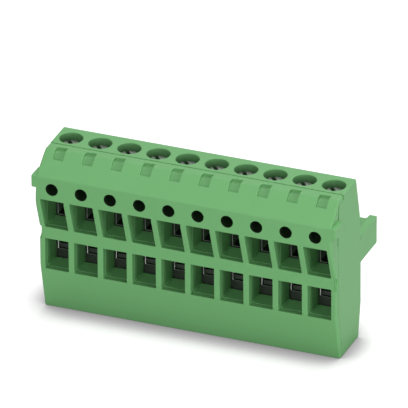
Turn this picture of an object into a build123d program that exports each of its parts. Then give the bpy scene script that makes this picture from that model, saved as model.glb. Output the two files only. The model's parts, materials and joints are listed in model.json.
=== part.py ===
# Pluggable terminal block that takes two wires at each pole.
# A plug housing and a snap-on entry cover hold, at each pole, a folded contact,
# two clamp sleeves and the two screws that draw the sleeves up against the contact.
# X runs along the poles, wires enter from -Y, the plug nose points to +Y and the base is at Z = 0.
# The upper and lower clamps are mirror images about the middle height.

import os

from build123d import *

os.makedirs("parts", exist_ok=True)

# Row of poles, in millimetres
pole_count = 10
pole_pitch = 5.08

# Clamp screw, slotted, with a plain many-sided shank where the thread is
screw_radius = 1.45
shank_sides = 12
head_sides = 16
screw_axis_y = 0.7
head_radius = 1.75
head_height = 1.9
head_edge = 0.3
slot_width = 0.65
slot_depth = 0.8
slot_angle = 130.0
thread_clearance = 0.07
neck_clearance = 0.08

# Heights passed from a screw well's mouth to the middle of the block
head_recess = 1.15
seat_gap = 0.05
neck_height = 2.0
travel_gap = 0.1
sleeve_travel = 2.5
collar_height = 1.7
bar_gap = 0.1
strip_thickness = 0.8
conductor_gap = 2.9
plate_thickness = 0.6
sleeve_gap = 0.1
middle_wall = 1.1

# Clamp sleeve, a folded cage round the conductor and the clamp bar
sleeve_depth = 4.0
sleeve_bend = 0.4
side_relief = 0.03
sleeve_clearance = 0.12
chamber_gap = 0.15

# Contact: clamp bars, upright web and pin socket from one strip
bar_clearance = 0.15
bar_setback = 0.2
tip_gap = 0.05
web_gap = 0.3
web_width = 3.0
pocket_clearance = 0.1
leaf_thickness = 0.4
leaf_height = 2.2
leaf_spread = 0.95
leaf_throat = 0.6
leaf_flare = 0.85
leaf_straight = 3.4
leaf_taper = 3.1
leaf_lip = 0.9

# Wire entries
entry_width = 4.1
entry_bar = 2.1
upper_entry_height = 6.0
lower_entry_height = 5.6

# Side outline of the block, front to back
base_depth = 8.12
front_reach = 5.99
knee_height = 8.3
knee_radius = 3.0
band_reach = 7.92
band_foot_drop = 0.4
band_foot_radius = 1.2
band_edge = 0.3
slope_rise = 3.32
slope_run = 3.95
shoulder_radius = 0.5
top_back_reach = 3.93
back_bend_reach = 5.0
back_bend_drop = 7.2
back_reach = 5.15
back_knee_height = 6.1

# Ends of the block
base_margin = 0.43
end_draft_height = 20.0
top_margin = 0.08
end_edge = 0.2

# Plug nose and its guide ribs
nose_length = 7.28
nose_height = 4.25
nose_drop = 1.3
nose_wall = 0.75
nose_edge = 0.3
rib_height = 0.65
rib_width = 1.27
rib_flank = 0.5
mouth_width = 2.0
mouth_height = 1.8
mouth_wall = 0.8
mouth_flare = 0.35

# Entry cover and its seam against the housing
cover_wall = 1.1
cover_top = 0.9
seam_gap = 0.05
seam_setback = 0.12
strip_gap = 0.56
strip_seam = 0.18
relief_width = 0.35
relief_depth = 0.35
ear_height = 2.04
ear_reach = 0.86
test_hole_radius = 1.05
test_hole_drop = 2.04
passage_clearance = 0.1
notch_width = 1.8
notch_back = 1.06
notch_depth = 0.5
notch_run = 2.4
end_notch_radius = 1.28
end_notch_depth = 0.85
end_notch_length = 0.45

# Screw well
well_radius = 1.975

# Distances from the middle height, outwards through one clamp
chamber_inner = middle_wall / 2
plate_outer = chamber_inner + sleeve_gap
plate_inner = plate_outer + plate_thickness
bar_near = plate_inner + conductor_gap
bar_far = bar_near + strip_thickness
collar_near = bar_far + bar_gap
collar_far = collar_near + collar_height
chamber_outer = collar_far + sleeve_travel + travel_gap
neck_far = chamber_outer + neck_height
head_near = neck_far + seat_gap
head_far = head_near + head_height
middle_z = head_far + head_recess
top_z = 2 * middle_z

# Depths along Y inside the block
sleeve_front = screw_axis_y - sleeve_depth / 2
sleeve_back = screw_axis_y + sleeve_depth / 2
chamber_front = sleeve_front - chamber_gap
chamber_back = sleeve_back + chamber_gap
web_front = sleeve_back + web_gap
web_back = web_front + strip_thickness
pocket_back = web_back + pocket_clearance

# Widths along X
row_half = pole_count * pole_pitch / 2
sleeve_width = entry_width - 2 * sleeve_clearance
bore_radius = screw_radius + thread_clearance
sleeve_inside = 2 * (bore_radius + side_relief)
bar_width = sleeve_inside - 2 * bar_clearance
base_half = row_half + base_margin
top_half = row_half + top_margin
far_out = base_half + pole_pitch

# Heights on the front
entry_near = entry_bar / 2
upper_entry_top = middle_z + entry_near + upper_entry_height
band_foot_z = upper_entry_top - band_foot_drop
band_top_z = top_z - slope_rise
test_hole_z = band_top_z - test_hole_drop
shoulder_y = slope_run - band_reach
seam_top_y = shoulder_y + seam_setback
strip_back_y = screw_axis_y - well_radius - strip_gap
strip_edge_y = strip_back_y - strip_seam
strip_bottom_z = top_z - cover_top

# Plug nose
nose_bottom_z = middle_z - nose_drop
nose_top_z = nose_bottom_z + nose_height
nose_end_y = back_reach + nose_length
socket_z = (nose_bottom_z + nose_top_z) / 2
socket_length = nose_length - mouth_wall

pole_places = [(i - (pole_count - 1) / 2) * pole_pitch for i in range(pole_count)]
middle_plane = Plane.XY.offset(middle_z)


def side_prism(points, half_width):
    """Solid of a side outline given as (y, z) points, from -half_width to +half_width along X."""
    return extrude(Plane.YZ * Polygon(*points, align=None), half_width, both=True)


def block(x_centre, x_width, y_low, y_high, z_low, z_high):
    """Box between two depths and two heights, centred on x_centre."""
    centre = (x_centre, (y_low + y_high) / 2, (z_low + z_high) / 2)
    return Pos(*centre) * Box(x_width, y_high - y_low, z_high - z_low)


def upright(x, y, radius, z_low, z_high):
    """Upright cylinder between two heights."""
    return Pos(x, y, (z_low + z_high) / 2) * Cylinder(radius, z_high - z_low)


def many_sided(x, radius, sides, z_low, z_high, hole=False):
    """Upright prism on a screw's axis, drawn inside the circle of a shank or round that of a hole."""
    section = RegularPolygon(radius, sides, major_radius=not hole)
    return Pos(x, screw_axis_y, z_low) * extrude(section, z_high - z_low, dir=(0, 0, 1))


def along_y(x, z, radius, y_low, y_high):
    """Cylinder along the depth between two depths."""
    return Pos(x, (y_low + y_high) / 2, z) * Rot(90, 0, 0) * Cylinder(radius, y_high - y_low)


def end_half(z):
    """Half length of the block at a height: upright ends, drafted above end_draft_height."""
    draft = max(0, z - end_draft_height) / (top_z - end_draft_height)
    return base_half - (base_half - top_half) * draft


def end_outline(y_low, y_high):
    """Solid of the block's outline seen from the front, between two depths."""
    right = [(end_half(z), z) for z in (0, end_draft_height, top_z)]
    left = [(-half, z) for half, z in reversed(right)]
    outline = Plane.XZ * Polygon(*(right + left), align=None)
    return Pos(0, y_low, 0) * extrude(outline, -(y_high - y_low))


def break_ends(solid, method):
    """Breaks the edges round both end faces of a moulding by fillet or chamfer."""
    for direction in (-1, 1):
        faces = [face for face in solid.faces() if face.normal_at().X * direction > 0.9]
        edges = ShapeList(edge for face in faces for edge in face.edges())
        rims = [edge for edge in edges if sum(edge.is_same(other) for other in edges) == 1]
        solid = method(rims, end_edge)
    return solid


def rounded_outline(points, radii):
    """Side outline with some of its corners rounded: radii maps a corner's index to its radius."""
    sketch = Polygon(*points, align=None)
    for index, radius in radii.items():
        corner = sketch.vertices().sort_by_distance((*points[index], 0))[0]
        sketch = fillet(corner, radius)
    return sketch


def front_outline(setback):
    """Seam between cover and housing from the base to the top, moved forward by setback."""
    front_y = -front_reach + cover_wall - setback
    foot_y = -base_depth / 2 + cover_wall - setback
    return [
        (foot_y, 0),
        (front_y, knee_height),
        (front_y, band_foot_z),
        (seam_top_y - setback, strip_bottom_z - setback),
    ]


def cover_space():
    """Space in front of the seam and over the step in the top, which is left to the cover."""
    outside = -band_reach - cover_wall
    seam = front_outline(0)
    points = [(outside, -cover_wall), (seam[0][0], -cover_wall)]
    points += seam
    points += [
        (strip_back_y, strip_bottom_z),
        (strip_back_y, top_z + cover_wall),
        (outside, top_z + cover_wall),
    ]
    return side_prism(points, far_out)


def make_housing():
    """Rear moulding: chambers, screw wells, base, top, end walls and plug nose."""
    outline = [
        (-band_reach, 0),
        (-band_reach, top_z),
        (top_back_reach, top_z),
        (back_bend_reach, top_z - back_bend_drop),
        (back_reach, nose_top_z),
        (nose_end_y, nose_top_z),
        (nose_end_y, nose_bottom_z),
        (back_reach, nose_bottom_z),
        (back_reach, back_knee_height),
        (base_depth / 2, 0),
    ]
    rounded = rounded_outline(outline, {5: nose_edge, 6: nose_edge})
    housing = extrude(Plane.YZ * rounded, far_out, both=True)
    housing &= end_outline(-band_reach, nose_end_y)
    housing = break_ends(housing, fillet)
    housing -= cover_space()
    housing += nose_ribs()
    for x in pole_places:
        housing -= clamp_space(x)
        housing -= mirror(clamp_space(x), middle_plane)
        housing -= entry_space(x)
        housing -= contact_space(x)
        housing -= test_passage(x)
    return housing


def nose_ribs():
    """Guide rib along the top of the nose at each end, with one slanted flank."""
    outer = base_half
    points = [
        (outer, nose_top_z - nose_edge),
        (outer, nose_top_z + rib_height),
        (outer - rib_width, nose_top_z + rib_height),
        (outer - rib_width - rib_flank, nose_top_z),
        (outer - rib_width - rib_flank, nose_top_z - nose_edge),
    ]
    section = Plane.XZ * Polygon(*points, align=None)
    rib = Pos(0, back_reach, 0) * extrude(section, -nose_length)
    return rib + mirror(rib, Plane.YZ)


def clamp_space(x):
    """Space for one upper clamp: sleeve chamber, screw neck and screw well."""
    chamber = block(
        x,
        entry_width,
        chamber_front,
        chamber_back,
        middle_z + chamber_inner,
        middle_z + chamber_outer,
    )
    neck_radius = screw_radius + neck_clearance
    neck_low = middle_z + chamber_outer
    neck = many_sided(x, neck_radius, shank_sides, neck_low, middle_z + neck_far, hole=True)
    well = upright(x, screw_axis_y, well_radius, middle_z + neck_far, top_z)
    return chamber + neck + well


def entry_space(x):
    """Pair of wire entries of one pole, from outside the front to the sleeve chambers."""
    upper_low = middle_z + entry_near
    lower_high = middle_z - entry_near
    outside = -band_reach - cover_wall
    upper = block(x, entry_width, outside, chamber_front, upper_low, upper_low + upper_entry_height)
    lower = block(x, entry_width, outside, chamber_front, lower_high - lower_entry_height, lower_high)
    return upper + lower


def test_passage(x):
    """Square passage that carries on from a test hole in the cover to the clamp's metal."""
    width = 2 * (test_hole_radius + passage_clearance)
    return block(
        x,
        width,
        -band_reach,
        chamber_front,
        test_hole_z - width / 2,
        test_hole_z + width / 2,
    )


def contact_space(x):
    """Pocket for the contact's web, the socket chamber in the nose and its flared mouth."""
    reach = bar_far + pocket_clearance
    web = block(
        x,
        web_width + 2 * pocket_clearance,
        chamber_back,
        pocket_back,
        middle_z - reach,
        middle_z + reach,
    )
    socket = block(
        x,
        2 * (leaf_spread + leaf_thickness),
        pocket_back,
        back_reach + socket_length,
        nose_bottom_z + nose_wall,
        nose_top_z - nose_wall,
    )
    mouth_plane = Plane((x, nose_end_y, socket_z), x_dir=(1, 0, 0), z_dir=(0, -1, 0))
    wide = Rectangle(mouth_width + 2 * mouth_flare, mouth_height + 2 * mouth_flare)
    narrow = Rectangle(mouth_width, mouth_height)
    flare = loft([mouth_plane * wide, mouth_plane.offset(mouth_flare) * narrow])
    throat = extrude(mouth_plane * narrow, mouth_wall)
    return web + socket + flare + throat


def housing_space():
    """Space behind the seam and under the strip on top, which is left to the housing."""
    seam = front_outline(seam_gap)
    strip_under_z = strip_bottom_z + seam_gap
    points = [(seam[0][0], -cover_wall)]
    points += seam[:-1]
    points += [
        (seam[-1][0], strip_under_z),
        (screw_axis_y, strip_under_z),
        (screw_axis_y, -cover_wall),
    ]
    return side_prism(points, far_out)


def make_cover():
    """Front moulding: shoulder, slope, test-hole band, end ears and the wire entries."""
    outline = [
        (-base_depth / 2, 0),
        (-front_reach, knee_height),
        (-front_reach, middle_z + entry_near),
        (-band_reach, band_foot_z),
        (-band_reach, band_top_z),
        (shoulder_y, top_z),
        (strip_edge_y, top_z),
        (strip_edge_y, 0),
    ]
    corners = {1: knee_radius, 3: band_foot_radius, 4: band_edge, 5: shoulder_radius}
    cover = extrude(Plane.YZ * rounded_outline(outline, corners), far_out, both=True)
    cover &= end_outline(-band_reach, 0)
    cover = break_ends(cover, chamfer)
    cover -= housing_space()
    for side in (-1, 1):
        cover -= seam_relief(side)
        cover -= end_notch(side)
        cover += ear(side)
    for x in pole_places:
        cover -= entry_space(x)
        cover -= along_y(x, test_hole_z, test_hole_radius, -band_reach - cover_wall, chamber_front)
        cover -= shoulder_notch(x)
    return cover


def seam_relief(side):
    """Groove along the cover's rear end edge, from the band's foot up to the shoulder."""
    low = front_outline(seam_gap)[2]
    high = front_outline(seam_gap)[3]
    points = [low, high, (high[0] - relief_width, high[1]), (low[0] - relief_width, low[1])]
    inner = end_half(band_top_z) - relief_depth
    section = Plane.YZ.offset(side * inner) * Polygon(*points, align=None)
    return extrude(section, side * (far_out - inner))


def end_notch(side):
    """Half-round nick in the cover's front corner at one end, level with the bar between the rows."""
    centre_y = -front_reach + end_notch_depth - end_notch_radius
    centre = Pos(side * end_half(middle_z), centre_y, middle_z)
    return centre * Rot(0, 90, 0) * Cylinder(end_notch_radius, 2 * end_notch_length)


def ear(side):
    """Ear at one end of the band: flat on top, level with the foot of the slope."""
    low = front_outline(seam_gap)[2]
    high = front_outline(seam_gap)[3]
    share = (band_top_z - low[1]) / (high[1] - low[1])
    back_y = low[0] + share * (high[0] - low[0]) - relief_width
    width = ear_reach + relief_depth
    x = side * (end_half(band_top_z) - relief_depth + width / 2)
    solid = block(x, width, -band_reach, back_y, band_top_z - ear_height, band_top_z)
    outer = solid.edges().filter_by(Axis.Z).group_by(Axis.X)[-1 if side > 0 else 0]
    return fillet(outer, band_edge)


def shoulder_notch(x):
    """Shallow notch of even depth that follows the shoulder from the top down on to the slope."""
    back_y = strip_back_y - notch_back
    front_y = back_y - notch_run
    floor_z = top_z - notch_depth
    fall = (shoulder_y - front_y) * slope_rise / slope_run
    above = top_z + cover_top
    points = [
        (back_y, above),
        (back_y, floor_z),
        (shoulder_y, floor_z),
        (front_y, floor_z - fall),
        (front_y, above),
    ]
    return Pos(x, 0, 0) * side_prism(points, notch_width / 2)


def make_contact(x):
    """Contact of one pole: web, two clamp bars and two spring leaves that grip a header pin."""
    web = block(x, web_width, web_front, web_back, middle_z - bar_far, middle_z + bar_far)
    bar_front = sleeve_front + bar_setback
    upper = block(x, bar_width, bar_front, web_front, middle_z + bar_near, middle_z + bar_far)
    lower = mirror(upper, middle_plane)
    return web + upper + lower + spring_leaf(x, 1) + spring_leaf(x, -1)


def spring_leaf(x, side):
    """One leaf of the pin socket, seen from above as a bent strip, running back from the web."""
    middle = leaf_thickness / 2
    line = [
        (leaf_spread - middle, web_back),
        (leaf_spread - middle, web_back + leaf_straight),
        (leaf_throat, web_back + leaf_straight + leaf_taper),
        (leaf_flare, web_back + leaf_straight + leaf_taper + leaf_lip),
    ]
    outer = [(x + side * (u + middle), y) for u, y in line]
    inner = [(x + side * (u - middle), y) for u, y in reversed(line)]
    strip = Plane.XY.offset(socket_z - leaf_height / 2) * Polygon(*(outer + inner), align=None)
    return extrude(strip, leaf_height, dir=(0, 0, 1))


def make_sleeve(x):
    """Upper clamp sleeve of one pole, lowered to take a wire: plate, sides and threaded collar."""
    ring = Rectangle(sleeve_width, collar_far - plate_outer)
    ring = chamfer(ring.vertices(), sleeve_bend)
    window = Rectangle(sleeve_inside, collar_near - plate_inner)
    ring -= Pos(0, (plate_thickness - collar_height) / 2) * window
    centre_z = middle_z + (plate_outer + collar_far) / 2
    plane = Plane((x, sleeve_front, centre_z), x_dir=(1, 0, 0), z_dir=(0, -1, 0))
    sleeve = extrude(plane * ring, -sleeve_depth)
    bore_low = middle_z + collar_near
    return sleeve - many_sided(x, bore_radius, shank_sides, bore_low, middle_z + collar_far, hole=True)


def make_screw(x):
    """Upper clamp screw of one pole: shank down to the clamp bar and a slotted head in the well."""
    shank_low = middle_z + bar_far + tip_gap
    shank = many_sided(x, screw_radius, shank_sides, shank_low, middle_z + head_near)
    head = many_sided(x, head_radius, head_sides, middle_z + head_near, middle_z + head_far)
    head = chamfer(head.edges().group_by(Axis.Z)[-1], head_edge)
    slot_z = middle_z + head_far - slot_depth / 2
    slot = Rot(0, 0, slot_angle) * Box(2 * well_radius, slot_width, slot_depth)
    slot = Pos(x, screw_axis_y, slot_z) * slot
    return shank + head - slot


def save(solid, name):
    """Writes one node."""
    export_step(solid, f"parts/{name}.step")


save(make_housing(), "housing")
save(make_cover(), "entry_cover")
for number, place in enumerate(pole_places, start=1):
    sleeve = make_sleeve(place)
    screw = make_screw(place)
    save(make_contact(place), f"contact_{number:02d}")
    save(sleeve, f"upper_sleeve_{number:02d}")
    save(screw, f"upper_screw_{number:02d}")
    save(mirror(sleeve, middle_plane), f"lower_sleeve_{number:02d}")
    save(mirror(screw, middle_plane), f"lower_screw_{number:02d}")
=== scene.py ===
"""Dresses the pluggable terminal block: green mouldings, plated clamps and threaded screws."""

import json
import math
from collections import namedtuple

import bmesh
import bpy
from bpy.props import FloatProperty, FloatVectorProperty, IntProperty, PointerProperty
from mathutils import Matrix, Vector


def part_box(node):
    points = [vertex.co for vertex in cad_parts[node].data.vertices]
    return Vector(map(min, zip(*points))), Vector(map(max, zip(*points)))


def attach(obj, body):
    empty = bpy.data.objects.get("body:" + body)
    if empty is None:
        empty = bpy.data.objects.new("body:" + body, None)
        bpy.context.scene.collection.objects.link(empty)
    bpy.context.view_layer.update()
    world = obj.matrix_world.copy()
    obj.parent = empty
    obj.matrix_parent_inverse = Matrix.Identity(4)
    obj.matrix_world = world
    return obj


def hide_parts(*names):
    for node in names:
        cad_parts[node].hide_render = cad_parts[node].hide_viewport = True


bl_info = {
    "name": "Terminal block dressing",
    "version": (1, 0, 0),
    "blender": (4, 5, 0),
    "location": "View3D > Sidebar > Terminal block",
    "description": "Finishes the pieces of a pluggable terminal block and sets the stage",
    "category": "Object",
}

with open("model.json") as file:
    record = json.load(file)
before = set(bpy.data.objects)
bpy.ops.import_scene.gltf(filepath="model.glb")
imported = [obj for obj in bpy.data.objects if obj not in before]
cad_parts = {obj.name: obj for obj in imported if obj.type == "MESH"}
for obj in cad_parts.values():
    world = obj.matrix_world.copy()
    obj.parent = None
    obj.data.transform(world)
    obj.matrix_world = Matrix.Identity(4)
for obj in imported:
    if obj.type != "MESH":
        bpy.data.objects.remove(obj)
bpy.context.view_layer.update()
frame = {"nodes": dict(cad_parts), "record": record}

MILLIMETRE = 0.001

# Names that the frame gives its nodes and bodies
BLOCK_BODY = "block"
MOULDINGS = ("housing", "entry_cover")
LEVELS = ("upper", "lower")
POLES = sorted(name.split("_")[-1] for name in frame["nodes"] if name.startswith("contact_"))

# CAD mesh: the distance at which two points are one, and the fold at which two faces are one
SAME_PLACE = 0.001 * MILLIMETRE
SAME_FACE = math.radians(0.5)

# Folds between faces that count as edges, and the area from which a flat face is wide
FOLD = math.radians(19.0)
SLIGHT_FOLD = math.radians(1.0)
WIDE_FACE = 15.0 * MILLIMETRE**2

# Rounded edges: the room that one needs, as a multiple of its radius, the cosine below which
# an edge goes on nearly straight past its end, and the facets across the rounding
ROOM = 2.2
NEARLY_STRAIGHT = -0.9
ROUNDING_FACETS = 2

# A screw well or test hole: the middle of its mouth, the way in, its sizes and its painted shade
Hollow = namedtuple("Hollow", "mouth inward radius depth rim shade")

# Painted shade of the hollows: the rims that stay unshaded, as multiples of the edge radius, the
# depth of a test hole's painted shade, as a multiple of the bore's length, and the exponent that
# brings out the faint shades
WELL_RIM = 1.1
HOLE_RIM = 0.5
HOLE_REACH = 1.5
SHADE_CURVE = 0.25

# How far the normal of the shoulder's slope leans forwards and upwards, at least
SLANT = 0.3

# Windows of the sleeves: material slots of the painted highlight on their edges and the painted
# light on their sides, the margin that is left out as a multiple of the edge radius, and how
# upright an edge and how square a side has to be
HIGHLIGHT_SLOT = 1
SIDE_LIGHT_SLOT = 2
WINDOW_MARGIN = 3.0
UPRIGHT = 0.1
SQUARE = 0.9

# Materials: how far the roughness swings, the stretch of a plating's marks along the strip, their
# depth as a multiple of their size, their tone, and how metallic the painted highlight and the
# painted light of the windows are
PLASTIC_SWING = 0.05
PLATING_SWING = 0.08
DRAWN_OUT = 0.15
MARK_DEPTH = 0.04
DULL = 0.82
HIGHLIGHT_METAL = 0.7
SIDE_LIGHT_METAL = 0.6

# Sizes that the node group of the screws takes, by name
SCREW_SIZES = (
    "Thread Radius",
    "Thread Depth",
    "Thread Pitch",
    "Thread Length",
    "Shank Length",
    "Head Radius",
    "Head Height",
    "Head Edge",
    "Slot Width",
    "Slot Depth",
    "Slot Turn",
)

# Screws: facets round the head, the flats of the thread as a share of its flank, the plain neck
# and the tip's chamfer as shares of its depth, the fold that stays sharp and the seam's merge
HEAD_SIDES = 56
THREAD_FLAT = 0.12
NECK_SHARE = 0.8
TIP_SHARE = 0.6
SCREW_FOLD = math.radians(32.0)
SEALED = 0.002 * MILLIMETRE

# Floor: half its width, its squares along a side, its faint mottle, and how open to the sky
# it has to be to keep its tone and to show white, below which a painted contact shadow darkens it
FLOOR_REACH = 0.6
FLOOR_SQUARES = 8
MOTTLE_SCALE = 12.0
MOTTLE_TONE = 1.01
TONE_RANGE = (0.6, 1.0)
WHITE_RANGE = (0.08, 0.85)

# Lamps: where they stand, how wide they are, and the white of the floor and the world
LAMPS = {
    "top": Vector((0.0, 0.05, 0.5)),
    "back": Vector((0.05, 0.35, 0.38)),
    "right": Vector((0.48, -0.12, 0.12)),
    "front": Vector((0.04, -0.50, 0.15)),
}
LAMP_WIDTH = 0.30
WHITE = (1.0, 1.0, 1.0, 1.0)


def colour(name, description, default):
    """Colour property, as linear light."""
    return FloatVectorProperty(
        name=name,
        description=description,
        default=default,
        size=3,
        min=0.0,
        max=1.0,
        subtype="COLOR",
    )


def length(name, description, millimetres):
    """Length property with its default in millimetres."""
    return FloatProperty(
        name=name,
        description=description,
        default=millimetres * MILLIMETRE,
        min=0.0,
        precision=5,
        subtype="DISTANCE",
        unit="LENGTH",
    )


def share(name, description, default):
    """Property from 0 to 1."""
    return FloatProperty(
        name=name, description=description, default=default, min=0.0, max=1.0, subtype="FACTOR"
    )


def angle(name, description, degrees):
    """Angle property with its default in degrees."""
    return FloatProperty(
        name=name,
        description=description,
        default=math.radians(degrees),
        subtype="ANGLE",
        unit="ROTATION",
    )


def power(name, description, watts):
    """Lamp power property."""
    return FloatProperty(name=name, description=description, default=watts, min=0.0, unit="POWER")


def count(name, description, default, least, most):
    """Whole-number property."""
    return IntProperty(name=name, description=description, default=default, min=least, max=most)


class MouldingSettings(bpy.types.PropertyGroup):
    """Finish of the housing and the entry cover, with painted shade in their hollows and notches.
    """

    plastic: colour("Plastic", "Body colour of the moulded plastic", (0.165, 0.436, 0.164))
    plastic_pale: colour("Pale plastic", "Colour of the paler patches", (0.177, 0.456, 0.176))
    # Painted shade: deep in the test holes, screw wells and shoulder notches the plastic is mixed
    # towards this dark colour, in place of the shade that falls there
    hollow: colour("Hollow", "Colour of the plastic deep in a hole", (0.014, 0.030, 0.013))
    hole_shade: share("Hole shade", "How far the test holes take the colour of a hollow", 1.0)
    well_shade: share("Well shade", "How far the screw wells take the colour of a hollow", 0.09)
    well_radius: length("Well radius", "Radius of the screw wells", 1.975)
    notch_shade: share("Notch shade", "How far the notches take the colour of a hollow", 0.002)
    notch_width: length("Notch width", "Width of the shoulder notches", 1.8)
    notch_depth: length("Notch depth", "Depth of the shoulder notches", 0.5)
    notch_fall: length("Notch fall", "How far the notches reach down the slope", 1.075)
    edge_radius: length("Edge radius", "Rounding of the moulded edges", 0.09)
    cloud_size: length("Cloud size", "Size of the soft patches of paler plastic", 7.0)
    grain_size: length("Grain size", "Size of the satin grain of the mould", 0.16)
    grain_depth: length("Grain depth", "Depth of the satin grain", 0.004)
    roughness: share("Roughness", "Roughness of the satin surface", 0.50)
    shine: share("Shine", "Specular level of the satin surface", 0.25)


class ClampSettings(bpy.types.PropertyGroup):
    """Finish of the clamp sleeves and the contacts, with painted shade, painted highlights and
    painted light on them.
    """

    # Painted shade: the sleeves' plating is dark and greenish, in place of the shade deep in the
    # entries
    nickel_in_shade: colour("Nickel", "Colour of the plated sleeves", (0.050, 0.064, 0.050))
    # Painted highlights: pale lines on the upright edges of the lower sleeves' windows, dimmer on
    # the upper ones
    edge: colour("Edge", "Colour of the lower sleeves' bright edges", (0.80, 0.80, 0.77))
    upper_highlight: colour("Upper edge", "Colour of the upper sleeves' edges", (0.24, 0.27, 0.24))
    # Painted light: a paler greenish plating on the sides of the sleeves' windows
    satin: colour("Satin", "Colour of the sides of the sleeves' windows", (0.20, 0.30, 0.20))
    # Painted shade: the contacts' plating is dark and greenish, in place of the shade deep in the
    # entries
    tin_in_shade: colour("Tin", "Colour of the plated contacts", (0.060, 0.072, 0.060))
    edge_radius: length("Edge radius", "Rounding of the stamped edges", 0.06)
    brush_size: length("Brush size", "Spacing of the rolling marks", 0.05)
    roughness: share("Roughness", "Roughness of the plating", 0.50)


class ScrewSettings(bpy.types.PropertyGroup):
    """Sizes and finish of the clamp screws."""

    zinc: colour("Zinc", "Colour of the plated screws", (0.36, 0.365, 0.35))
    roughness: share("Roughness", "Roughness of the plating", 0.36)
    mark_size: length("Mark size", "Size of the faint marks in the plating", 0.12)
    thread_radius: length("Thread radius", "Outer radius of the thread", 1.45)
    thread_depth: length("Thread depth", "Depth of the thread", 0.27)
    thread_pitch: length("Thread pitch", "Rise of the thread in a turn", 0.5)
    neck_length: length("Neck length", "Plain shank under the head", 1.75)
    head_height: length("Head height", "Height of the head", 1.9)
    head_edge: length("Head edge", "Chamfer round the head", 0.3)
    slot_width: length("Slot width", "Width of the driver slot", 0.65)
    slot_depth: length("Slot depth", "Depth of the driver slot", 0.8)
    slot_turn: angle("Slot turn", "Direction of the driver slot, seen from above", 130.0)
    sides: count("Sides", "Facets round the thread", 28, 8, 96)
    rows: count("Rows", "Rows of facets in a turn of the thread", 8, 4, 24)


class StageSettings(bpy.types.PropertyGroup):
    """Floor, light and camera."""

    floor: colour("Floor", "Colour of the floor", (0.55, 0.55, 0.55))
    # Painted shadow: close under the block the floor is mixed towards this dark colour
    contact: colour("Contact", "Colour of the floor close under the block", (0.02, 0.02, 0.02))
    floor_lift: share("Floor lift", "White that the camera sees added to the floor", 0.74)
    shadow_reach: length("Shadow reach", "How far the contact shadow reaches on the floor", 6.0)
    ambient: share("Ambient", "Even light from all round", 0.04)
    top_power: power("Top light", "Power of the lamp overhead", 1.14)
    back_power: power("Back light", "Power of the lamp high behind", 0.78)
    right_power: power("Right light", "Power of the low lamp at the right", 1.16)
    front_power: power("Front light", "Power of the lamp in front", 1.42)
    camera_turn: angle("Camera turn", "How far the camera stands round to the right", 21.63)
    camera_rise: angle("Camera rise", "How far the camera stands above the floor", 27.86)
    camera_roll: angle("Camera roll", "Turn of the picture about its middle", 0.25)
    camera_distance: length("Camera distance", "From the camera to its target", 2240.0)
    camera_across: length("Camera across", "Shift of the camera to its right", 0.495)
    camera_up: length("Camera up", "Shift of the camera upwards in the picture", 5.70)
    focus_height: length("Focus height", "Height of the target of the camera and the lamps", 15.0)
    lens: length("Lens", "Focal length of the camera", 1218.5)
    sensor: length("Sensor", "Width of the camera's sensor", 36.0)


class TerminalBlockSettings(bpy.types.PropertyGroup):
    """All settings of the terminal block."""

    moulding: PointerProperty(type=MouldingSettings)
    clamp: PointerProperty(type=ClampSettings)
    screw: PointerProperty(type=ScrewSettings)
    stage: PointerProperty(type=StageSettings)


def add_node(tree, kind, inputs=None, **settings):
    """Adds a node, sets its settings, and fills or links its inputs."""
    node = tree.nodes.new(kind)
    for key, value in settings.items():
        setattr(node, key, value)
    for key, value in (inputs or {}).items():
        if isinstance(value, bpy.types.NodeSocket):
            tree.links.new(value, node.inputs[key])
        else:
            node.inputs[key].default_value = value
    return node


def maths(tree, operation, first, second=0.0):
    """Adds a Math node and returns its output."""
    return add_node(tree, "ShaderNodeMath", {0: first, 1: second}, operation=operation).outputs[0]


def ranged(tree, value, low, high):
    """Adds a Map Range node that takes low to 0 and high to 1, and returns its output."""
    inputs = {"Value": value, "From Min": low, "From Max": high}
    return add_node(tree, "ShaderNodeMapRange", inputs).outputs["Result"]


def along_z(tree, value):
    """Adds a vector along Z and returns its output."""
    return add_node(tree, "ShaderNodeCombineXYZ", {"Z": value}).outputs["Vector"]


def new_material(name):
    """Empty node material and its output node."""
    material = bpy.data.materials.new(name)
    material.use_nodes = True
    tree = material.node_tree
    tree.nodes.clear()
    return material, tree, add_node(tree, "ShaderNodeOutputMaterial")


def mixed_colour(tree, factor, first, second):
    """Adds a Mix node between two colours, values or sockets, and returns its output."""
    inputs = {0: factor}
    for index, value in ((6, first), (7, second)):
        inputs[index] = value if isinstance(value, bpy.types.NodeSocket) else (*value, 1.0)
    return add_node(tree, "ShaderNodeMix", inputs, data_type="RGBA").outputs[2]


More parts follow.
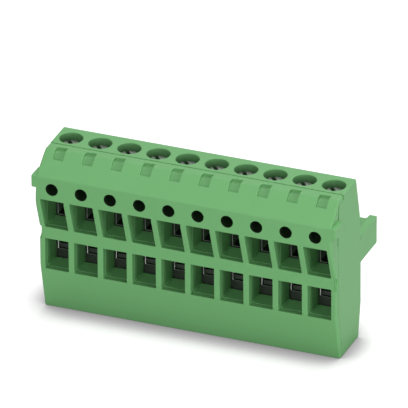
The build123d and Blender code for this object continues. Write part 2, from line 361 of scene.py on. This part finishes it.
def moulded_plastic(settings):
    """Satin green plastic: clouds of tone, fine mould grain, uneven gloss and painted shade in the
    hollows.
    """
    material, tree, output = new_material("moulded_green_plastic")
    place = add_node(tree, "ShaderNodeTexCoord").outputs["Object"]
    clouds = add_node(
        tree,
        "ShaderNodeTexNoise",
        {"Vector": place, "Scale": 1.0 / settings.cloud_size, "Detail": 3.0, "Roughness": 0.55},
    )
    tone = mixed_colour(tree, clouds.outputs["Fac"], settings.plastic, settings.plastic_pale)
    # Painted shade: darker deep in the wells, test holes and notches, by the attribute that
    # shade_hollows stores
    depth = add_node(tree, "ShaderNodeAttribute", attribute_name="hollow").outputs["Fac"]
    tone = mixed_colour(tree, maths(tree, "POWER", depth, SHADE_CURVE), tone, settings.hollow)
    grain = add_node(
        tree,
        "ShaderNodeTexNoise",
        {"Vector": place, "Scale": 1.0 / settings.grain_size, "Detail": 4.0, "Roughness": 0.6},
    )
    gloss = add_node(
        tree,
        "ShaderNodeMapRange",
        {
            "Value": grain.outputs["Fac"],
            "From Min": 0.3,
            "From Max": 0.7,
            "To Min": settings.roughness - PLASTIC_SWING,
            "To Max": settings.roughness + PLASTIC_SWING,
        },
    )
    bump = add_node(
        tree,
        "ShaderNodeBump",
        {"Height": grain.outputs["Fac"], "Distance": settings.grain_depth, "Strength": 0.6},
    )
    shader = add_node(
        tree,
        "ShaderNodeBsdfPrincipled",
        {
            "Base Color": tone,
            "Roughness": gloss.outputs["Result"],
            "Normal": bump.outputs["Normal"],
            "IOR": 1.5,
            "Specular IOR Level": settings.shine,
        },
    )
    tree.links.new(shader.outputs["BSDF"], output.inputs["Surface"])
    return material


def plated_metal(name, tint, roughness, mark_size, stretch, metallic=1.0):
    """Plated metal with fine marks drawn out along one direction and a faint change of tone."""
    material, tree, output = new_material(name)
    place = add_node(tree, "ShaderNodeTexCoord").outputs["Object"]
    drawn = add_node(tree, "ShaderNodeMapping", {"Vector": place, "Scale": stretch})
    marks = add_node(
        tree,
        "ShaderNodeTexNoise",
        {"Vector": drawn.outputs["Vector"], "Scale": 1.0 / mark_size, "Detail": 3.0},
    )
    dull = tuple(DULL * value for value in tint)
    tone = mixed_colour(tree, marks.outputs["Fac"], dull, tint)
    gloss = add_node(
        tree,
        "ShaderNodeMapRange",
        {
            "Value": marks.outputs["Fac"],
            "To Min": roughness - PLATING_SWING,
            "To Max": roughness + PLATING_SWING,
        },
    )
    bump = add_node(
        tree,
        "ShaderNodeBump",
        {"Height": marks.outputs["Fac"], "Distance": MARK_DEPTH * mark_size, "Strength": 0.5},
    )
    shader = add_node(
        tree,
        "ShaderNodeBsdfPrincipled",
        {
            "Base Color": tone,
            "Metallic": metallic,
            "Roughness": gloss.outputs["Result"],
            "Normal": bump.outputs["Normal"],
        },
    )
    tree.links.new(shader.outputs["BSDF"], output.inputs["Surface"])
    return material


def new_piece(name, mesh):
    """Object at the origin that holds a finished mesh."""
    piece = bpy.data.objects.new(name, mesh)
    bpy.context.scene.collection.objects.link(piece)
    return piece


def baked_mesh(piece, name):
    """Plain mesh of a piece with its modifiers applied."""
    depsgraph = bpy.context.evaluated_depsgraph_get()
    mesh = bpy.data.meshes.new_from_object(piece.evaluated_get(depsgraph))
    mesh.name = name
    return mesh


def mark_sharp_edges(shape):
    """Keeps clear folds sharp, and slighter ones too where they bound a wide flat face."""
    for edge in shape.edges:
        fold = edge.calc_face_angle(0.0)
        wide = max((face.calc_area() for face in edge.link_faces), default=0.0)
        edge.smooth = fold < FOLD and (wide < WIDE_FACE or fold < SLIGHT_FOLD)


def find_hollows(settings):
    """Screw wells of the housing and test holes of the cover."""
    low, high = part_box("housing")
    well_depth = (high.z - low.z) / 2.0
    well_rim = WELL_RIM * settings.edge_radius
    well = (settings.well_radius, well_depth, well_rim, settings.well_shade)
    hole_rim = HOLE_RIM * settings.edge_radius
    ahead = Vector((0.0, 1.0, 0.0))
    found = []
    for level in LEVELS:
        upper = level == "upper"
        for pole in POLES:
            first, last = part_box(f"{level}_screw_{pole}")
            middle = (first + last) / 2.0
            mouth = Vector((middle.x, middle.y, high.z if upper else low.z))
            inward = Vector((0.0, 0.0, -1.0 if upper else 1.0))
            found.append(Hollow(mouth, inward, *well))
    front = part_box("entry_cover")[0].y
    for mount in frame["record"]["mounts"]:
        if mount["kind"] == "bore":
            mouth = Vector(mount["pos_m"])
            mouth.y = front
            radius = mount["dims"]["r_mm"] * MILLIMETRE
            hole_depth = HOLE_REACH * mount["dims"]["length_mm"] * MILLIMETRE
            found.append(Hollow(mouth, ahead, radius, hole_depth, hole_rim, settings.hole_shade))
    return found


def hollow_shade(point, hollow):
    """Shade of a hollow at a point, or 0 outside it and at its rim."""
    offset = point - hollow.mouth
    depth = offset.dot(hollow.inward)
    aside = (offset - depth * hollow.inward).length
    inside = hollow.rim < depth < hollow.depth and aside < hollow.radius + hollow.rim
    return hollow.shade if inside else 0.0


def find_notches(mesh):
    """Shoulder notches: the middles of the poles and the planes that they are cut into."""
    facing = [face for face in mesh.polygons if min(-face.normal.y, face.normal.z) > SLANT]
    slope = max(facing, key=lambda face: face.area)
    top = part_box("housing")[1]
    planes = ((slope.center.copy(), slope.normal.copy()), (top, Vector((0.0, 0.0, 1.0))))
    middles = []
    for pole in POLES:
        low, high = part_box(f"contact_{pole}")
        middles.append((low.x + high.x) / 2.0)
    return middles, planes


def notch_shade(point, notches, rim, settings):
    """Shade of a shoulder notch at a point, or 0 outside the notches and at their rims."""
    middles, planes = notches
    below = min((place - point).dot(facing) for place, facing in planes)
    aside = min(abs(point.x - middle) for middle in middles)
    if not (rim < below < settings.notch_depth + rim and aside < settings.notch_width / 2.0 + rim):
        return 0.0
    top = planes[1][0].z
    down_slope = (top - settings.notch_depth - point.z) / settings.notch_fall
    return settings.notch_shade * min(1.0, max(0.0, 1.0 - down_slope))


def shade_hollows(mesh, hollows, settings):
    """Stores at each point of a moulding the painted shade of the hollow or notch that it lies in.
    """
    rim = WELL_RIM * settings.edge_radius
    notches = find_notches(mesh)
    shades = []
    for vertex in mesh.vertices:
        deepest = max(hollow_shade(vertex.co, hollow) for hollow in hollows)
        shades.append(max(deepest, notch_shade(vertex.co, notches, rim, settings)))
    mesh.attributes.new("hollow", "FLOAT", "POINT").data.foreach_set("value", shades)


def can_round(edge, radius):
    """Whether a fold has room for the radius: no short edge meets it or ends it at a corner."""
    if len(edge.link_faces) != 2 or edge.calc_face_angle(0.0) < FOLD:
        return False
    for vertex in edge.verts:
        back = edge.other_vert(vertex).co - vertex.co
        goes_on = False
        for other in vertex.link_edges:
            away = other.other_vert(vertex).co - vertex.co
            if back.normalized().dot(away.normalized()) < NEARLY_STRAIGHT:
                goes_on = True
            elif away.length < ROOM * radius and other is not edge:
                return False
        if not goes_on and back.length < ROOM * radius:
            return False
    return True


def flatten_wide_faces(mesh):
    """Gives each wide flat face one even normal."""
    normals = [corner.vector.copy() for corner in mesh.corner_normals]
    for face in mesh.polygons:
        if face.area > WIDE_FACE:
            for corner in face.loop_indices:
                normals[corner] = face.normal.copy()
    mesh.normals_split_custom_set(normals)


def keep_in_box(mesh, solid):
    """Brings back the points that the rounding pushed out of the box of the CAD solid."""
    for axis in range(3):
        places = [vertex.co[axis] for vertex in solid.vertices]
        low, high = min(places), max(places)
        for vertex in mesh.vertices:
            vertex.co[axis] = min(max(vertex.co[axis], low), high)
    mesh.update()


def rounded_piece(node, edge_radius, material, highlight_material=None):
    """Copy of a CAD node with its sharp edges rounded, which stands for the node."""
    mesh = frame["nodes"][node].data.copy()
    shape = bmesh.new()
    shape.from_mesh(mesh)
    bmesh.ops.remove_doubles(shape, verts=shape.verts, dist=SAME_PLACE)
    bmesh.ops.dissolve_limit(
        shape, angle_limit=SAME_FACE, verts=shape.verts, edges=shape.edges
    )
    for face in shape.faces:
        face.smooth = True
    mark_sharp_edges(shape)
    weight = shape.edges.layers.float.new("bevel_weight_edge")
    for edge in shape.edges:
        edge[weight] = float(can_round(edge, edge_radius))
    shape.to_mesh(mesh)
    shape.free()
    mesh.materials.clear()
    mesh.materials.append(material)
    name = f"{node}_dressed"
    piece = new_piece(name, mesh)
    bevel = piece.modifiers.new("Rounded edges", "BEVEL")
    bevel.width = edge_radius
    bevel.segments = ROUNDING_FACETS
    bevel.limit_method = "WEIGHT"
    bevel.use_clamp_overlap = False
    # The rounded edges may get a second material: the painted highlight of the sleeves
    if highlight_material:
        mesh.materials.append(highlight_material)
        bevel.material = HIGHLIGHT_SLOT
    flatten = piece.modifiers.new("Flat faces", "WEIGHTED_NORMAL")
    flatten.weight = 100
    flatten.keep_sharp = True
    piece.data = baked_mesh(piece, name)
    piece.modifiers.clear()
    bpy.data.meshes.remove(mesh)
    keep_in_box(piece.data, frame["nodes"][node].data)
    flatten_wide_faces(piece.data)
    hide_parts(node)
    return piece


def paint_window_light(mesh, margin):
    """Keeps the painted highlight only on the upright edges of a sleeve's window, and gives its
    sides painted light.
    """
    places = [vertex.co.x for vertex in mesh.vertices]
    middle = (min(places) + max(places)) / 2.0
    reach = max(places) - middle - margin
    for face in mesh.polygons:
        aside = face.center.x - middle
        within = abs(aside) < reach
        if face.material_index == HIGHLIGHT_SLOT:
            painted_highlight = within and abs(face.normal.z) < UPRIGHT
            face.material_index = HIGHLIGHT_SLOT if painted_highlight else 0
        elif within and face.normal.x * aside < -SQUARE * abs(aside):
            face.material_index = SIDE_LIGHT_SLOT


def group_input(tree, name, kind):
    """Adds a named input to a node group."""
    return tree.interface.new_socket(name=name, in_out="INPUT", socket_type=kind)


def screw_tree():
    """Node group for a slotted screw along Z: its tip at the origin and its head on top."""
    tree = bpy.data.node_groups.new("Clamp screw", "GeometryNodeTree")
    for name in SCREW_SIZES:
        group_input(tree, name, "NodeSocketFloat")
    group_input(tree, "Sides", "NodeSocketInt")
    group_input(tree, "Rows", "NodeSocketInt")
    group_input(tree, "Plating", "NodeSocketMaterial")
    tree.interface.new_socket(name="Screw", in_out="OUTPUT", socket_type="NodeSocketGeometry")
    sizes = add_node(tree, "NodeGroupInput").outputs
    joined = add_node(tree, "GeometryNodeJoinGeometry")
    tree.links.new(threaded_shank(tree, sizes), joined.inputs["Geometry"])
    tree.links.new(slotted_head(tree, sizes), joined.inputs["Geometry"])
    smooth = add_node(
        tree,
        "GeometryNodeSetShadeSmooth",
        {"Geometry": joined.outputs["Geometry"]},
        domain="FACE",
    )
    fold = add_node(tree, "GeometryNodeInputMeshEdgeAngle").outputs["Unsigned Angle"]
    sharp = add_node(
        tree,
        "GeometryNodeSetShadeSmooth",
        {
            "Geometry": smooth.outputs["Geometry"],
            "Selection": maths(tree, "GREATER_THAN", fold, SCREW_FOLD),
            "Shade Smooth": False,
        },
        domain="EDGE",
    )
    real = add_node(tree, "GeometryNodeRealizeInstances", {"Geometry": sharp.outputs["Geometry"]})
    plated = add_node(
        tree,
        "GeometryNodeSetMaterial",
        {"Geometry": real.outputs["Geometry"], "Material": sizes["Plating"]},
    )
    add_node(tree, "NodeGroupOutput", {"Screw": plated.outputs["Geometry"]})
    return tree


def threaded_shank(tree, sizes):
    """Grid rolled up into a closed shank: chamfered tip, right-hand thread and plain neck."""
    turns = maths(tree, "DIVIDE", sizes["Shank Length"], sizes["Thread Pitch"])
    rows = maths(tree, "CEIL", maths(tree, "MULTIPLY", turns, sizes["Rows"]))
    row = maths(tree, "DIVIDE", sizes["Shank Length"], rows)
    # The neck ends one row up in the head, and a row more at each end closes the shank
    end = maths(tree, "ADD", sizes["Shank Length"], row)
    total = maths(tree, "ADD", end, maths(tree, "MULTIPLY", row, 2.0))
    grid = add_node(
        tree,
        "GeometryNodeMeshGrid",
        {
            "Size X": 2.0 * math.pi,
            "Size Y": total,
            "Vertices X": maths(tree, "ADD", sizes["Sides"], 1.0),
            "Vertices Y": maths(tree, "ADD", rows, 4.0),
        },
    )
    place = add_node(tree, "GeometryNodeInputPosition").outputs[0]
    flat = add_node(tree, "ShaderNodeSeparateXYZ", {0: place})
    turn = flat.outputs["X"]
    run = maths(tree, "ADD", flat.outputs["Y"], maths(tree, "MULTIPLY", total, 0.5))
    height = maths(tree, "MAXIMUM", maths(tree, "SUBTRACT", run, row), 0.0)
    height = maths(tree, "MINIMUM", height, end)
    rise = maths(tree, "DIVIDE", height, sizes["Thread Pitch"])
    share_turned = maths(tree, "DIVIDE", turn, 2.0 * math.pi)
    phase = maths(tree, "FRACT", maths(tree, "SUBTRACT", rise, share_turned))
    swing = maths(tree, "SUBTRACT", maths(tree, "MULTIPLY", phase, 2.0), 1.0)
    away = maths(tree, "ABSOLUTE", swing)
    crest = ranged(tree, away, THREAD_FLAT, 1.0 - THREAD_FLAT)
    left = maths(tree, "SUBTRACT", sizes["Thread Length"], height)
    fade = ranged(tree, left, 0.0, sizes["Thread Pitch"])
    proud = add_node(
        tree,
        "ShaderNodeMix",
        {0: fade, 2: NECK_SHARE, 3: crest},
        data_type="FLOAT",
    ).outputs[0]
    core = maths(tree, "SUBTRACT", sizes["Thread Radius"], sizes["Thread Depth"])
    radius = maths(tree, "ADD", core, maths(tree, "MULTIPLY", proud, sizes["Thread Depth"]))
    chamfer = maths(tree, "MULTIPLY", sizes["Thread Depth"], TIP_SHARE)
    tip = maths(tree, "SUBTRACT", core, chamfer)
    radius = maths(tree, "MINIMUM", radius, maths(tree, "ADD", tip, height))
    ends = maths(tree, "MINIMUM", run, maths(tree, "SUBTRACT", total, run))
    closing = maths(tree, "MINIMUM", maths(tree, "DIVIDE", ends, row), 1.0)
    radius = maths(tree, "MULTIPLY", radius, maths(tree, "MAXIMUM", closing, 0.0))
    rolled = add_node(
        tree,
        "ShaderNodeCombineXYZ",
        {
            "X": maths(tree, "MULTIPLY", radius, maths(tree, "COSINE", turn)),
            "Y": maths(tree, "MULTIPLY", radius, maths(tree, "SINE", turn)),
            "Z": height,
        },
    )
    shank = add_node(
        tree,
        "GeometryNodeSetPosition",
        {"Geometry": grid.outputs["Mesh"], "Position": rolled.outputs["Vector"]},
    )
    sealed = add_node(
        tree,
        "GeometryNodeMergeByDistance",
        {"Geometry": shank.outputs["Geometry"], "Distance": SEALED},
    )
    return sealed.outputs["Geometry"]


def slotted_head(tree, sizes):
    """Chamfered round head on top of the shank, with a driver slot cut across it."""
    straight = maths(tree, "SUBTRACT", sizes["Head Height"], sizes["Head Edge"])
    drum = add_node(
        tree,
        "GeometryNodeMeshCylinder",
        {"Vertices": HEAD_SIDES, "Radius": sizes["Head Radius"], "Depth": straight},
    )
    raised = add_node(
        tree,
        "GeometryNodeExtrudeMesh",
        {
            "Mesh": drum.outputs["Mesh"],
            "Selection": drum.outputs["Top"],
            "Offset Scale": sizes["Head Edge"],
        },
    )
    face_radius = maths(tree, "SUBTRACT", sizes["Head Radius"], sizes["Head Edge"])
    narrow = maths(tree, "DIVIDE", face_radius, sizes["Head Radius"])
    chamfered = add_node(
        tree,
        "GeometryNodeScaleElements",
        {"Geometry": raised.outputs["Mesh"], "Selection": raised.outputs["Top"], "Scale": narrow},
    )
    middle = maths(tree, "ADD", sizes["Shank Length"], maths(tree, "MULTIPLY", straight, 0.5))
    lifted = add_node(
        tree,
        "GeometryNodeTransform",
        {
            "Geometry": chamfered.outputs["Geometry"],
            "Translation": along_z(tree, middle),
        },
    )
    # The cutter is longer than the head is wide, and its middle lies on the head's top
    cutter_size = add_node(
        tree,
        "ShaderNodeCombineXYZ",
        {
            "X": maths(tree, "MULTIPLY", sizes["Head Radius"], 3.0),
            "Y": sizes["Slot Width"],
            "Z": maths(tree, "MULTIPLY", sizes["Slot Depth"], 2.0),
        },
    )
    cutter = add_node(tree, "GeometryNodeMeshCube", {"Size": cutter_size.outputs["Vector"]})
    top = maths(tree, "ADD", sizes["Shank Length"], sizes["Head Height"])
    placed = add_node(
        tree,
        "GeometryNodeTransform",
        {
            "Geometry": cutter.outputs["Mesh"],
            "Translation": along_z(tree, top),
            "Rotation": along_z(tree, sizes["Slot Turn"]),
        },
    )
    cut = add_node(tree, "GeometryNodeMeshBoolean", operation="DIFFERENCE")
    tree.links.new(lifted.outputs["Geometry"], cut.inputs["Mesh 1"])
    tree.links.new(placed.outputs["Geometry"], cut.inputs["Mesh 2"])
    return cut.outputs["Mesh"]


def screw_mesh(name, values):
    """Mesh of one screw with the given sizes, its tip at the origin."""
    maker = new_piece(name, bpy.data.meshes.new(name))
    modifier = maker.modifiers.new("Clamp screw", "NODES")
    modifier.node_group = bpy.data.node_groups.get("Clamp screw") or screw_tree()
    for item in modifier.node_group.interface.items_tree:
        if item.in_out == "INPUT":
            modifier[item.identifier] = values[item.name]
    mesh = baked_mesh(maker, name)
    empty = maker.data
    maker.modifiers.clear()
    bpy.data.objects.remove(maker)
    bpy.data.meshes.remove(empty)
    if not mesh.polygons:
        raise RuntimeError("the clamp screw came out empty")
    mesh.materials.clear()
    mesh.materials.append(values["Plating"])
    mesh.polygons.foreach_set("material_index", [0] * len(mesh.polygons))
    return mesh


class TERMINALBLOCK_OT_mouldings(bpy.types.Operator):
    """Rounds the edges of the housing and the entry cover and gives them their plastic, with
    painted shade in the hollows
    """

    bl_idname = "terminal_block.mouldings"
    bl_label = "Finish mouldings"

    def execute(self, context):
        settings = context.scene.terminal_block.moulding
        plastic = moulded_plastic(settings)
        hollows = find_hollows(settings)
        for node in MOULDINGS:
            piece = rounded_piece(node, settings.edge_radius, plastic)
            # Painted shade in the wells, test holes and notches
            shade_hollows(piece.data, hollows, settings)
            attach(piece, BLOCK_BODY)
        return {"FINISHED"}


class TERMINALBLOCK_OT_contacts(bpy.types.Operator):
    """Rounds the edges of the contacts and gives them their plating, darkened as painted shade"""

    bl_idname = "terminal_block.contacts"
    bl_label = "Finish contacts"

    def execute(self, context):
        settings = context.scene.terminal_block.clamp
        finish = (settings.roughness, settings.brush_size, (1.0, DRAWN_OUT, 1.0))
        # Painted shade: a dark plating on the contacts in place of the shade round them
        tin_in_shade = plated_metal("tin_plating", settings.tin_in_shade, *finish)
        for pole in POLES:
            piece = rounded_piece(f"contact_{pole}", settings.edge_radius, tin_in_shade)
            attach(piece, BLOCK_BODY)
        return {"FINISHED"}


class TERMINALBLOCK_OT_sleeves(bpy.types.Operator):
    """Rounds the stamped edges of the clamp sleeves and gives them a plating darkened as painted
    shade, with painted highlights and painted light in their windows
    """

    bl_idname = "terminal_block.sleeves"
    bl_label = "Finish sleeves"

    def execute(self, context):
        settings = context.scene.terminal_block.clamp
        finish = (settings.roughness, settings.brush_size, (1.0, 1.0, DRAWN_OUT))
        # Painted shade: a dark plating on the sleeves in place of the shade deep in the entries
        nickel_in_shade = plated_metal("nickel_plating", settings.nickel_in_shade, *finish)
        # Painted highlights on the upright edges of the windows, dimmer on the upper sleeves
        painted_highlight = plated_metal("bright_plating", settings.edge, *finish, HIGHLIGHT_METAL)
        dim_painted_highlight = plated_metal("shaded_plating", settings.upper_highlight, *finish, HIGHLIGHT_METAL)
        # Painted light: a paler plating on the sides of the windows
        satin = plated_metal("satin_plating", settings.satin, *finish, SIDE_LIGHT_METAL)
        edges = {"upper": dim_painted_highlight, "lower": painted_highlight}
        for level in LEVELS:
            for pole in POLES:
                node = f"{level}_sleeve_{pole}"
                piece = rounded_piece(node, settings.edge_radius, nickel_in_shade, edges[level])
                piece.data.materials.append(satin)
                paint_window_light(piece.data, WINDOW_MARGIN * settings.edge_radius)
                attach(piece, node)
        return {"FINISHED"}


class TERMINALBLOCK_OT_screws(bpy.types.Operator):
    """Makes the threaded and slotted clamp screws"""

    bl_idname = "terminal_block.screws"
    bl_label = "Make screws"

    def execute(self, context):
        settings = context.scene.terminal_block.screw
        finish = (settings.roughness, settings.mark_size, (1.0, 1.0, 1.0))
        zinc = plated_metal("zinc_plating", settings.zinc, *finish)
        for level in LEVELS:
            upside_down = level == "lower"
            low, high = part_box(f"{level}_screw_{POLES[0]}")
            shank = high.z - low.z - settings.head_height
            values = {
                "Thread Radius": settings.thread_radius,
                "Thread Depth": settings.thread_depth,
                "Thread Pitch": settings.thread_pitch,
                "Thread Length": shank - settings.neck_length,
                "Shank Length": shank,
                "Head Radius": (high.x - low.x) / 2.0,
                "Head Height": settings.head_height,
                "Head Edge": settings.head_edge,
                "Slot Width": settings.slot_width,
                "Slot Depth": settings.slot_depth,
                "Slot Turn": -settings.slot_turn if upside_down else settings.slot_turn,
                "Sides": settings.sides,
                "Rows": settings.rows,
                "Plating": zinc,
            }
            pattern = screw_mesh(f"{level}_screw_pattern", values)
            for pole in POLES:
                node = f"{level}_screw_{pole}"
                low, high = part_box(node)
                tip = (low + high) / 2.0
                tip.z = high.z if upside_down else low.z
                mesh = pattern.copy()
                turn = Matrix.Rotation(math.pi, 4, "X") if upside_down else Matrix.Identity(4)
                mesh.transform(Matrix.Translation(tip) @ turn)
                piece = new_piece(f"{node}_dressed", mesh)
                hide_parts(node)
                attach(piece, node)
            bpy.data.meshes.remove(pattern)
        return {"FINISHED"}


def seen_directly(tree):
    """1 for rays from the camera, and for those that a mirror or glass passes on."""
    path = add_node(tree, "ShaderNodeLightPath").outputs
    seen = maths(tree, "MAXIMUM", path["Is Camera Ray"], path["Is Glossy Ray"])
    return maths(tree, "MAXIMUM", seen, path["Is Transmission Ray"])


def floor_material(settings):
    """Pale floor that shows white to the camera, keeps the lamps' shadows and has a painted
    contact shadow under the block.
    """
    material, tree, output = new_material("pale_floor")
    place = add_node(tree, "ShaderNodeTexCoord").outputs["Object"]
    mottle = add_node(
        tree,
        "ShaderNodeTexNoise",
        {"Vector": place, "Scale": MOTTLE_SCALE, "Detail": 2.0},
    )
    paler = tuple(min(1.0, MOTTLE_TONE * value) for value in settings.floor)
    tone = mixed_colour(tree, mottle.outputs["Fac"], settings.floor, paler)
    reach = {"Distance": settings.shadow_reach}
    # Painted contact shadow: the floor's tone and its white both fade where the block hides the
    # sky
    open_sky = add_node(tree, "ShaderNodeAmbientOcclusion", reach, samples=16).outputs["AO"]
    tone = mixed_colour(tree, ranged(tree, open_sky, *TONE_RANGE), settings.contact, tone)
    matt = add_node(tree, "ShaderNodeBsdfDiffuse", {"Color": tone})
    lift = maths(tree, "MULTIPLY", seen_directly(tree), settings.floor_lift)
    lift = maths(tree, "MULTIPLY", lift, ranged(tree, open_sky, *WHITE_RANGE))
    glow = add_node(tree, "ShaderNodeEmission", {"Color": WHITE, "Strength": lift})
    both = add_node(tree, "ShaderNodeAddShader", {0: matt.outputs[0], 1: glow.outputs[0]})
    tree.links.new(both.outputs[0], output.inputs["Surface"])
    return material


def pale_world(settings):
    """World that lights evenly from all round and shows white to the camera."""
    world = bpy.data.worlds.new("pale_studio")
    world.use_nodes = True
    tree = world.node_tree
    tree.nodes.clear()
    even = add_node(tree, "ShaderNodeBackground", {"Color": WHITE, "Strength": settings.ambient})
    shown = add_node(tree, "ShaderNodeBackground", {"Color": WHITE, "Strength": 1.0})
    mixed = add_node(
        tree,
        "ShaderNodeMixShader",
        {0: seen_directly(tree), 1: even.outputs[0], 2: shown.outputs[0]},
    )
    add_node(tree, "ShaderNodeOutputWorld", {"Surface": mixed.outputs[0]})
    return world


def area_lamp(name, place, target, watts):
    """Square lamp that faces a point."""
    data = bpy.data.lights.new(name, "AREA")
    data.shape = "SQUARE"
    data.size = LAMP_WIDTH
    data.energy = watts
    lamp = bpy.data.objects.new(name, data)
    lamp.location = place
    lamp.rotation_euler = (target - place).to_track_quat("-Z", "Y").to_euler()
    bpy.context.scene.collection.objects.link(lamp)


def set_camera(settings):
    """Camera far off with a long lens, at the photograph's angle."""
    turn = settings.camera_turn
    rise = settings.camera_rise
    across = Vector((math.cos(turn), math.sin(turn), 0.0))
    ahead = Vector(
        (-math.sin(turn) * math.cos(rise), math.cos(turn) * math.cos(rise), -math.sin(rise))
    )
    above = across.cross(ahead)
    roll = settings.camera_roll
    right = math.cos(roll) * across - math.sin(roll) * above
    up = math.sin(roll) * across + math.cos(roll) * above
    shift = settings.camera_across * right + settings.camera_up * up
    place = Vector((0.0, 0.0, settings.focus_height))
    place += shift - settings.camera_distance * ahead
    data = bpy.data.cameras.new("camera")
    data.sensor_width = settings.sensor / MILLIMETRE
    data.lens = settings.lens / MILLIMETRE
    data.clip_start = 0.1
    data.clip_end = 2.0 * settings.camera_distance
    camera = bpy.data.objects.new("camera", data)
    axes = Matrix((right, up, -ahead)).transposed()
    camera.matrix_world = Matrix.Translation(place) @ axes.to_4x4()
    bpy.context.scene.collection.objects.link(camera)
    bpy.context.scene.camera = camera


class TERMINALBLOCK_OT_stage(bpy.types.Operator):
    """Adds the pale floor, the soft lamps, the world and the camera"""

    bl_idname = "terminal_block.stage"
    bl_label = "Set the stage"

    def execute(self, context):
        settings = context.scene.terminal_block.stage
        mesh = bpy.data.meshes.new("floor")
        shape = bmesh.new()
        bmesh.ops.create_grid(
            shape, x_segments=FLOOR_SQUARES, y_segments=FLOOR_SQUARES, size=FLOOR_REACH
        )
        shape.to_mesh(mesh)
        shape.free()
        mesh.materials.append(floor_material(settings))
        floor = new_piece("floor", mesh)
        middle = Vector((0.0, 0.0, settings.focus_height))
        for name, place in LAMPS.items():
            area_lamp(f"{name}_lamp", place, middle, getattr(settings, f"{name}_power"))
        context.scene.world = pale_world(settings)
        context.scene.view_settings.view_transform = "Standard"
        set_camera(settings)
        return {"FINISHED"}


class VIEW3D_PT_terminal_block(bpy.types.Panel):
    """Lists the steps and the settings of the terminal block"""

    bl_label = "Terminal block"
    bl_space_type = "VIEW_3D"
    bl_region_type = "UI"
    bl_category = "Terminal block"

    def draw(self, context):
        layout = self.layout
        for operator in OPERATORS:
            layout.operator(operator.bl_idname)
        settings = context.scene.terminal_block
        for title, group in (
            ("Mouldings", settings.moulding),
            ("Clamps", settings.clamp),
            ("Screws", settings.screw),
            ("Stage", settings.stage),
        ):
            box = layout.box()
            box.label(text=title)
            for name in group.bl_rna.properties.keys():
                if name not in ("rna_type", "name"):
                    box.prop(group, name)


OPERATORS = (
    TERMINALBLOCK_OT_mouldings,
    TERMINALBLOCK_OT_contacts,
    TERMINALBLOCK_OT_sleeves,
    TERMINALBLOCK_OT_screws,
    TERMINALBLOCK_OT_stage,
)
CLASSES = (
    MouldingSettings,
    ClampSettings,
    ScrewSettings,
    StageSettings,
    TerminalBlockSettings,
    *OPERATORS,
    VIEW3D_PT_terminal_block,
)


def register():
    for item in CLASSES:
        bpy.utils.register_class(item)
    bpy.types.Scene.terminal_block = PointerProperty(type=TerminalBlockSettings)


def unregister():
    del bpy.types.Scene.terminal_block
    for item in reversed(CLASSES):
        bpy.utils.unregister_class(item)


def main():
    register()
    bpy.ops.terminal_block.mouldings()
    bpy.ops.terminal_block.contacts()
    bpy.ops.terminal_block.sleeves()
    bpy.ops.terminal_block.screws()
    bpy.ops.terminal_block.stage()


if __name__ == "__main__":
    main()
